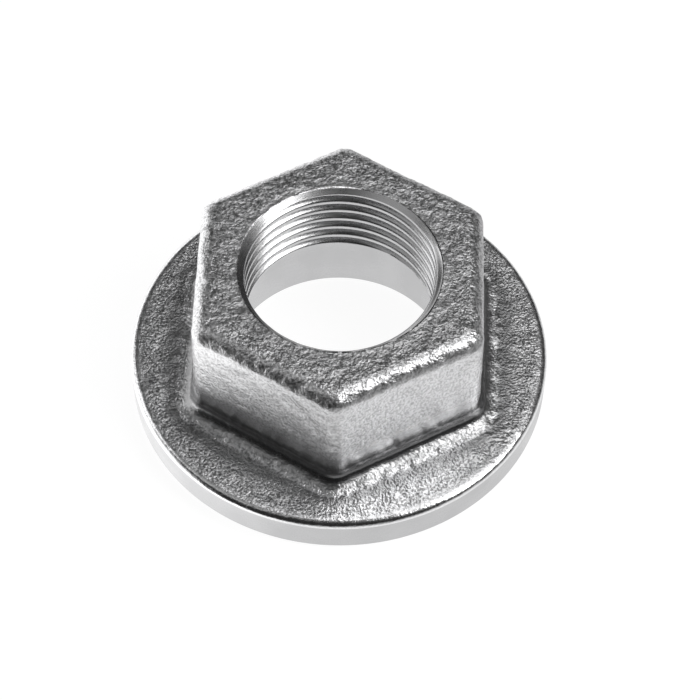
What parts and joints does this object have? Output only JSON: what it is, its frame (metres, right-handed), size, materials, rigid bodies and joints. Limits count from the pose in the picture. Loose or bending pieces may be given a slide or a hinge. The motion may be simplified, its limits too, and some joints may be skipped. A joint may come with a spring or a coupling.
{
  "type": "hull nut",
  "caption": "Cast hexagon nut on a wide round flange, with a pipe-threaded bore and a plain counterbore, that clamps a through-hull fitting against a hull.",
  "frame": {"origin": "centre of the flange's seating face, on the axis of the bore", "axes": "+Z along the bore, from the seating face to the top of the hexagon; two of the hexagon's corners lie on the Y axis"},
  "size_m": [0.07, 0.07, 0.0285],
  "materials": {
    "cast_steel": "shot-blasted cast steel, bright grey; rim, seating face, counterbore and thread turned"
  },
  "bodies": {
    "root": {"hull_nut": "cast_steel"}
  },
  "joints": []
}
